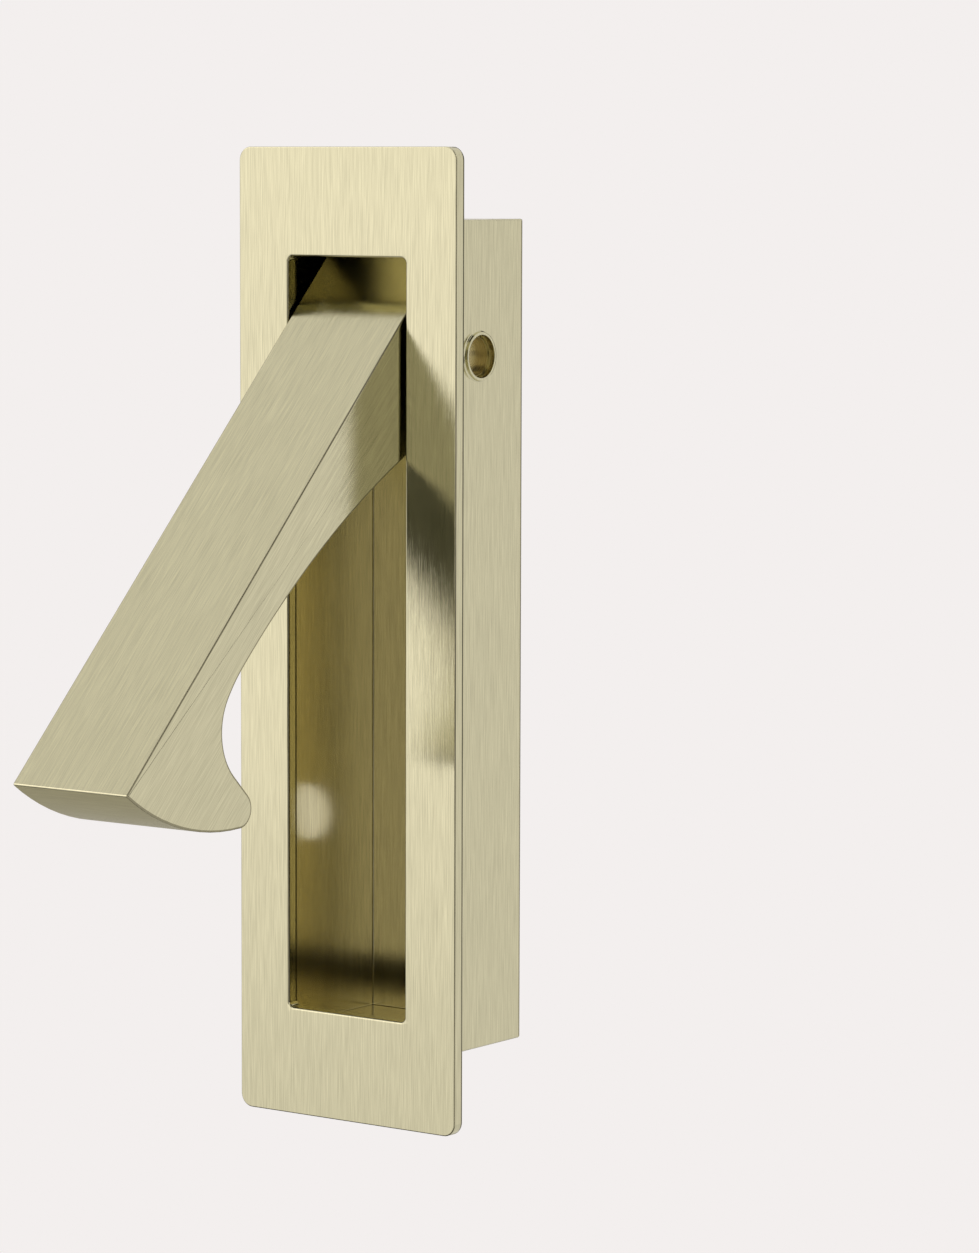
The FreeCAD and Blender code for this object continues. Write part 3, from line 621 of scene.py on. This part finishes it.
def make_brushing_group():
    """Hairlines left by a belt: long thin strokes, and a slow drift in how deep they are."""
    group = bpy.data.node_groups.new("brushing_strokes", "ShaderNodeTree")
    for name, kind in (("Surface", "NodeSocketVector"), ("Stroke Width", "NodeSocketFloat"),
                       ("Stroke Length", "NodeSocketFloat")):
        group.interface.new_socket(name=name, in_out="INPUT", socket_type=kind)
    for name in ("Strokes", "Broad Strokes", "Drift"):
        group.interface.new_socket(name=name, in_out="OUTPUT", socket_type="NodeSocketFloat")
    entry = add_node(group, "NodeGroupInput")
    leave = add_node(group, "NodeGroupOutput")
    place = add_node(group, "ShaderNodeSeparateXYZ")
    group.links.new(entry.outputs["Surface"], place.inputs[0])

    def strokes(widths, lengths, shift, detail):
        width = math_node(group, "MULTIPLY", entry.outputs["Stroke Width"], widths)
        length = math_node(group, "MULTIPLY", entry.outputs["Stroke Length"], lengths)
        across = math_node(group, "DIVIDE", place.outputs["X"], width)
        along = math_node(group, "DIVIDE", place.outputs["Y"], length)
        spread = add_node(group, "ShaderNodeCombineXYZ")
        group.links.new(across, spread.inputs[0])
        group.links.new(along, spread.inputs[1])
        spread.inputs[2].default_value = shift
        noise = add_node(group, "ShaderNodeTexNoise")
        noise.inputs["Scale"].default_value = 1
        noise.inputs["Detail"].default_value = detail
        noise.inputs["Roughness"].default_value = 0.6
        group.links.new(spread.outputs[0], noise.inputs["Vector"])
        return noise.outputs["Fac"]

    fine = strokes(1, 1, 3.7, 2)
    broad = strokes(2.6, 1.6, 8.1, 1)
    drift = strokes(40, 8, 1.3, 1)
    group.links.new(fine, leave.inputs["Strokes"])
    group.links.new(broad, leave.inputs["Broad Strokes"])
    group.links.new(drift, leave.inputs["Drift"])
    return group


brushing = make_brushing_group()


def brushed_material(name, colour, dark_share, roughness, roughness_span, anisotropy, depth):
    """Brushed metal: the strokes darken the colour a little, change the gloss and catch the light."""
    material = bpy.data.materials.new(name)
    material.use_nodes = True
    tree = material.node_tree
    metal = tree.nodes["Principled BSDF"]
    metal.inputs["Metallic"].default_value = 1
    metal.inputs["Anisotropic"].default_value = anisotropy
    surface = add_node(tree, "ShaderNodeUVMap", uv_map="brushing")
    marks = add_node(tree, "ShaderNodeGroup", node_tree=brushing)
    marks.inputs["Stroke Width"].default_value = 0.00006
    marks.inputs["Stroke Length"].default_value = 0.0042
    tree.links.new(surface.outputs["UV"], marks.inputs["Surface"])

    mixed = math_node(tree, "MULTIPLY_ADD", marks.outputs["Broad Strokes"], 0.6, marks.outputs["Strokes"])
    tone = add_node(tree, "ShaderNodeMapRange")
    tone.inputs["From Min"].default_value = 0.55
    tone.inputs["From Max"].default_value = 1.05
    tree.links.new(mixed, tone.inputs["Value"])
    shade = add_node(tree, "ShaderNodeMix", data_type="RGBA")
    shade.inputs["A"].default_value = (*[part * (1 - dark_share) for part in colour], 1)
    shade.inputs["B"].default_value = (*[min(part * (1 + dark_share), 1) for part in colour], 1)
    tree.links.new(tone.outputs["Result"], shade.inputs["Factor"])
    tree.links.new(shade.outputs["Result"], metal.inputs["Base Color"])

    gloss = add_node(tree, "ShaderNodeMapRange")
    gloss.inputs["From Min"].default_value = 0.3
    gloss.inputs["From Max"].default_value = 0.7
    gloss.inputs["To Min"].default_value = roughness - roughness_span
    gloss.inputs["To Max"].default_value = roughness + roughness_span
    tree.links.new(marks.outputs["Drift"], gloss.inputs["Value"])
    tree.links.new(gloss.outputs["Result"], metal.inputs["Roughness"])

    bump = add_node(tree, "ShaderNodeBump")
    bump.inputs["Strength"].default_value = depth
    bump.inputs["Distance"].default_value = 0.00002
    tree.links.new(mixed, bump.inputs["Height"])
    tree.links.new(bump.outputs["Normal"], metal.inputs["Normal"])

    across = add_node(tree, "ShaderNodeTangent", direction_type="UV_MAP", uv_map="brushing")
    tree.links.new(across.outputs["Tangent"], metal.inputs["Tangent"])
    return material


def turned_material(name, colour, roughness, ring_width):
    """Turned metal: fine rings round the pin's axis, on the solids' own coordinates."""
    material = bpy.data.materials.new(name)
    material.use_nodes = True
    tree = material.node_tree
    metal = tree.nodes["Principled BSDF"]
    metal.inputs["Metallic"].default_value = 1
    place = add_node(tree, "ShaderNodeTexCoord")
    centred = add_node(tree, "ShaderNodeMapping")
    centred.inputs["Location"].default_value = (0, -PIVOT_Y, -PIVOT_Z)
    tree.links.new(place.outputs["Object"], centred.inputs["Vector"])
    split = add_node(tree, "ShaderNodeSeparateXYZ")
    tree.links.new(centred.outputs["Vector"], split.inputs[0])
    squares = math_node(tree, "ADD", math_node(tree, "MULTIPLY", split.outputs["Y"], split.outputs["Y"]),
                        math_node(tree, "MULTIPLY", split.outputs["Z"], split.outputs["Z"]))
    radius = math_node(tree, "SQRT", squares)
    rings = add_node(tree, "ShaderNodeCombineXYZ")
    tree.links.new(math_node(tree, "DIVIDE", split.outputs["X"], ring_width), rings.inputs[0])
    tree.links.new(math_node(tree, "DIVIDE", radius, ring_width), rings.inputs[1])
    noise = add_node(tree, "ShaderNodeTexNoise")
    noise.inputs["Scale"].default_value = 1
    noise.inputs["Detail"].default_value = 2
    tree.links.new(rings.outputs[0], noise.inputs["Vector"])
    shade = add_node(tree, "ShaderNodeMix", data_type="RGBA")
    shade.inputs["A"].default_value = (*[part * 0.9 for part in colour], 1)
    shade.inputs["B"].default_value = (*[min(part * 1.08, 1) for part in colour], 1)
    tree.links.new(noise.outputs["Fac"], shade.inputs["Factor"])
    tree.links.new(shade.outputs["Result"], metal.inputs["Base Color"])
    gloss = add_node(tree, "ShaderNodeMapRange")
    gloss.inputs["To Min"].default_value = roughness * 0.8
    gloss.inputs["To Max"].default_value = roughness * 1.2
    tree.links.new(noise.outputs["Fac"], gloss.inputs["Value"])
    tree.links.new(gloss.outputs["Result"], metal.inputs["Roughness"])
    bump = add_node(tree, "ShaderNodeBump")
    bump.inputs["Strength"].default_value = 0.25
    bump.inputs["Distance"].default_value = 0.00002
    tree.links.new(noise.outputs["Fac"], bump.inputs["Height"])
    tree.links.new(bump.outputs["Normal"], metal.inputs["Normal"])
    return material


def paint(piece, *materials):
    piece.data.materials.clear()
    for material in materials:
        piece.data.materials.append(material)


plate_brass = brushed_material("brushed_brass_plate", (0.60, 0.575, 0.385), 0.15, 0.13, 0.015, 0.5, 0.3)
# Darker copies of the brushed brass: painted shade for the edge strips, and the darkest one for painted shade
# lines.
edge_shade_brass = brushed_material("brushed_brass_edge_shade", (0.30, 0.28, 0.18), 0.15, 0.20, 0.015, 0.3, 0.3)
line_shade_brass = brushed_material("brushed_brass_line_shade", (0.13, 0.12, 0.07), 0.15, 0.20, 0.015, 0.3, 0.3)
hollow_brass = brushed_material("brushed_brass_hollow", (0.615, 0.565, 0.35), 0.16, 0.17, 0.02, 0.5, 0.06)
pin_brass = turned_material("turned_brass_pin", (0.48, 0.41, 0.21), 0.28, 0.00012)
bush_bronze = turned_material("turned_bronze_bush", (0.50, 0.33, 0.16), 0.32, 0.00015)
spring_steel = turned_material("rolled_spring_steel", (0.42, 0.42, 0.43), 0.28, 0.0003)

paint(plate, plate_brass, edge_shade_brass, line_shade_brass)
paint(housing, plate_brass, hollow_brass, edge_shade_brass)
paint(lever, plate_brass, edge_shade_brass)
paint(pin, pin_brass)
for node, material in (("bush_left", bush_bronze), ("bush_right", bush_bronze),
                       ("spring_washer_left", spring_steel), ("spring_washer_right", spring_steel)):
    paint(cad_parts[node], material)

for face in housing.data.polygons:
    inside = (abs(face.center.x) < HOLLOW_HALF_WIDTH + NEAR and abs(face.center.z) < HOLLOW_HALF_LENGTH + NEAR
              and face.center.y < HOLLOW_DEPTH + NEAR)
    face.material_index = 1 if inside else 0
    # Painted shade: the back strip of the housing's sides, the rounding along its bottom and the rounded
    # corners inside the hollow take the darker edge-shade brass.
    at_back = (abs(face.center.x) > BOX_HALF_WIDTH - BOX_EDGE and face.center.y > BOX_DEPTH - BOX_BACK_STRIP
               and face.normal.y < ROUNDED_MOST)
    at_bottom = (-ROUNDED_MOST < face.normal.z < -SLANTED
                 and face.center.z < -BOX_HALF_LENGTH + BOX_EDGE)
    in_corner = (inside and abs(face.normal.z) < ROUNDED_LEAST
                 and ROUNDED_LEAST < abs(face.normal.x) < ROUNDED_MOST)
    if at_back or at_bottom or in_corner:
        face.material_index = 2

# Edges of the plate and of the lever's sides get painted shade, darker than the faces, except the plate's
# that look up; the plate's back strip and its lowest front edge get the darkest painted shade.
for face in plate.data.polygons:
    on_front = (ROUNDED_LEAST < abs(face.normal.y) < ROUNDED_MOST
                and face.center.y < -PLATE_THICK / 2)
    on_back = abs(face.normal.y) < ROUNDED_MOST and face.center.y > -PLATE_BACK_STRIP
    if face.normal.z < LOOKS_UP:
        outer_bottom = (on_front and face.normal.z < -LOOKS_DOWN
                        and face.center.z < -OPENING_HALF_LENGTH - PLATE_CORNER)
        face.material_index = 2 if on_back or outer_bottom else 1 if on_front else 0
for face in lever.data.polygons:
    corners = [lever.data.vertices[index].co for index in face.vertices]
    around = sum((corner - corners[number - 1]).length for number, corner in enumerate(corners))
    on_strip = (abs(face.normal.x) > ROUNDED_MOST and len(corners) == 4 and around < STRIP_OUTLINE
                and face.area < STRIP_SHARE * LEVER_STRIP * around)
    on_rounding = ROUNDED_LEAST < abs(face.normal.x) < ROUNDED_MOST
    face.material_index = 1 if on_strip or on_rounding else 0


# Camera, at the photograph's viewing angle

camera_data = bpy.data.cameras.new("camera")
camera = bpy.data.objects.new("camera", camera_data)
bpy.context.scene.collection.objects.link(camera)
camera.location = (0.333554, -0.432165, 0.055184)
camera.rotation_euler = (math.pi / 2 - 0.09826, -0.0029954, 0.6284905)
camera_data.lens = 133.93
camera_data.sensor_width = 36
camera_data.sensor_fit = "AUTO"
camera_data.clip_start = 0.01
bpy.context.scene.camera = camera


# Stage and light

# The soft box on the left fades out downward: its panels share a top edge and end at these heights.
SOFTBOX_TOP = 0.9
SOFTBOX_STEPS = ((-0.350, 0.10), (-0.262, 0.13), (-0.183, 0.13), (0.018, 0.07))

BACKDROP = (0.896, 0.863, 0.855, 1)
LAMP_TINT = (1.0, 0.93, 0.92)


def seen_ray(tree):
    """1 for the rays that show the backdrop: the camera's, and those that gloss or glass sends on."""
    path = add_node(tree, "ShaderNodeLightPath")
    gloss = math_node(tree, "MAXIMUM", path.outputs["Is Camera Ray"], path.outputs["Is Glossy Ray"])
    return math_node(tree, "MAXIMUM", gloss, path.outputs["Is Transmission Ray"])


world = bpy.data.worlds.new("studio")
bpy.context.scene.world = world
world.use_nodes = True
tree = world.node_tree
tree.nodes.clear()
shown = add_node(tree, "ShaderNodeBackground")
shown.inputs["Color"].default_value = BACKDROP
lighting = add_node(tree, "ShaderNodeBackground")
lighting.inputs["Color"].default_value = (0.9, 0.9, 0.9, 1)
lighting.inputs["Strength"].default_value = 1.0
either = add_node(tree, "ShaderNodeMixShader")
sky = add_node(tree, "ShaderNodeOutputWorld")
tree.links.new(seen_ray(tree), either.inputs["Fac"])
tree.links.new(lighting.outputs[0], either.inputs[1])
tree.links.new(shown.outputs[0], either.inputs[2])
tree.links.new(either.outputs[0], sky.inputs["Surface"])


def plain_material(name, colour, roughness):
    material = bpy.data.materials.new(name)
    material.use_nodes = True
    surface = material.node_tree.nodes["Principled BSDF"]
    surface.inputs["Base Color"].default_value = (*colour, 1)
    surface.inputs["Roughness"].default_value = roughness
    surface.inputs["Specular IOR Level"].default_value = 0
    return material


def add_card(name, width, height, location, facing, material):
    """Flat card that only gloss sees, turned to face a point."""
    bpy.ops.object.select_all(action="DESELECT")
    turn = (Vector(facing) - Vector(location)).to_track_quat("Z", "Y").to_euler()
    bpy.ops.mesh.primitive_plane_add(size=1, location=location, rotation=turn, scale=(width, height, 1))
    card = bpy.context.object
    card.name = name
    card.scale = (width, height, 1)
    paint(card, material)
    card.visible_camera = False
    card.visible_shadow = False
    card.visible_diffuse = False
    return card


def add_lamp(name, width, height, location, facing, radiance):
    """Soft box of even brightness, given as the light that it shows to the object."""
    data = bpy.data.lights.new(name, "AREA")
    data.shape = "RECTANGLE"
    data.size = width
    data.size_y = height
    data.energy = radiance * math.pi * width * height
    data.color = LAMP_TINT
    lamp = bpy.data.objects.new(name, data)
    bpy.context.scene.collection.objects.link(lamp)
    lamp.location = location
    lamp.rotation_euler = (Vector(facing) - Vector(location)).to_track_quat("-Z", "Y").to_euler()
    return lamp


floor_grey = plain_material("floor_pale", (0.87, 0.845, 0.84), 1.0)
bpy.ops.object.select_all(action="DESELECT")
bpy.ops.mesh.primitive_circle_add(vertices=96, radius=0.8, fill_type="NGON", location=(0, 0, -0.30))
floor = bpy.context.object
floor.name = "floor"
paint(floor, floor_grey)

black = plain_material("card_black", (0.05, 0.05, 0.05), 1.0)
dark = plain_material("card_dark", (0.11, 0.11, 0.10), 1.0)
grey = plain_material("card_grey", (0.44, 0.415, 0.34), 1.0)
middle = plain_material("card_middle", (0.64, 0.62, 0.61), 1.0)
pale = plain_material("card_pale", (0.99, 0.97, 0.95), 1.0)
add_card("card_below_front", 0.36, 0.36, (-0.20, -0.12, -0.28), (-0.20, -0.12, 0), dark)
add_card("card_below_back", 0.32, 0.28, (-0.18, 0.092, -0.18), (0, -0.045, -0.016), grey)
add_card("card_camera", 0.80, 0.62, (0.70, -0.96, -0.15), (0, 0, 0), middle)
add_card("card_lever", 0.32, 0.32, (-0.327, -0.046, 0.44), (0, 0, 0), pale)
add_card("card_right", 0.52, 0.16, (0.59, -0.104, -0.058), (0, 0, 0), black)
add_card("card_back", 0.70, 0.56, (-0.06, 0.70, 0.13), (0, 0, 0), black)
add_card("card_above", 0.40, 0.40, (0.30, -0.03, 0.52), (0, 0, 0), black)

for number, (bottom, radiance) in enumerate(SOFTBOX_STEPS):
    middle_height = (SOFTBOX_TOP + bottom) / 2
    nearer = 1 - 0.02 * number
    add_lamp(f"softbox_left_{number}", 1.15, SOFTBOX_TOP - bottom,
             (-0.75 * nearer, -1.03 * nearer, middle_height), (0, 0, middle_height), radiance)
add_lamp("softbox_key", 0.50, 0.40, (-0.74, -0.58, 0.46), (0, 0, 0), 0.9)
add_lamp("softbox_front", 0.45, 0.32, (0.04, -1.15, 0.30), (0, 0, 0), 1.0)

view = bpy.context.scene.view_settings
view.view_transform = "Standard"
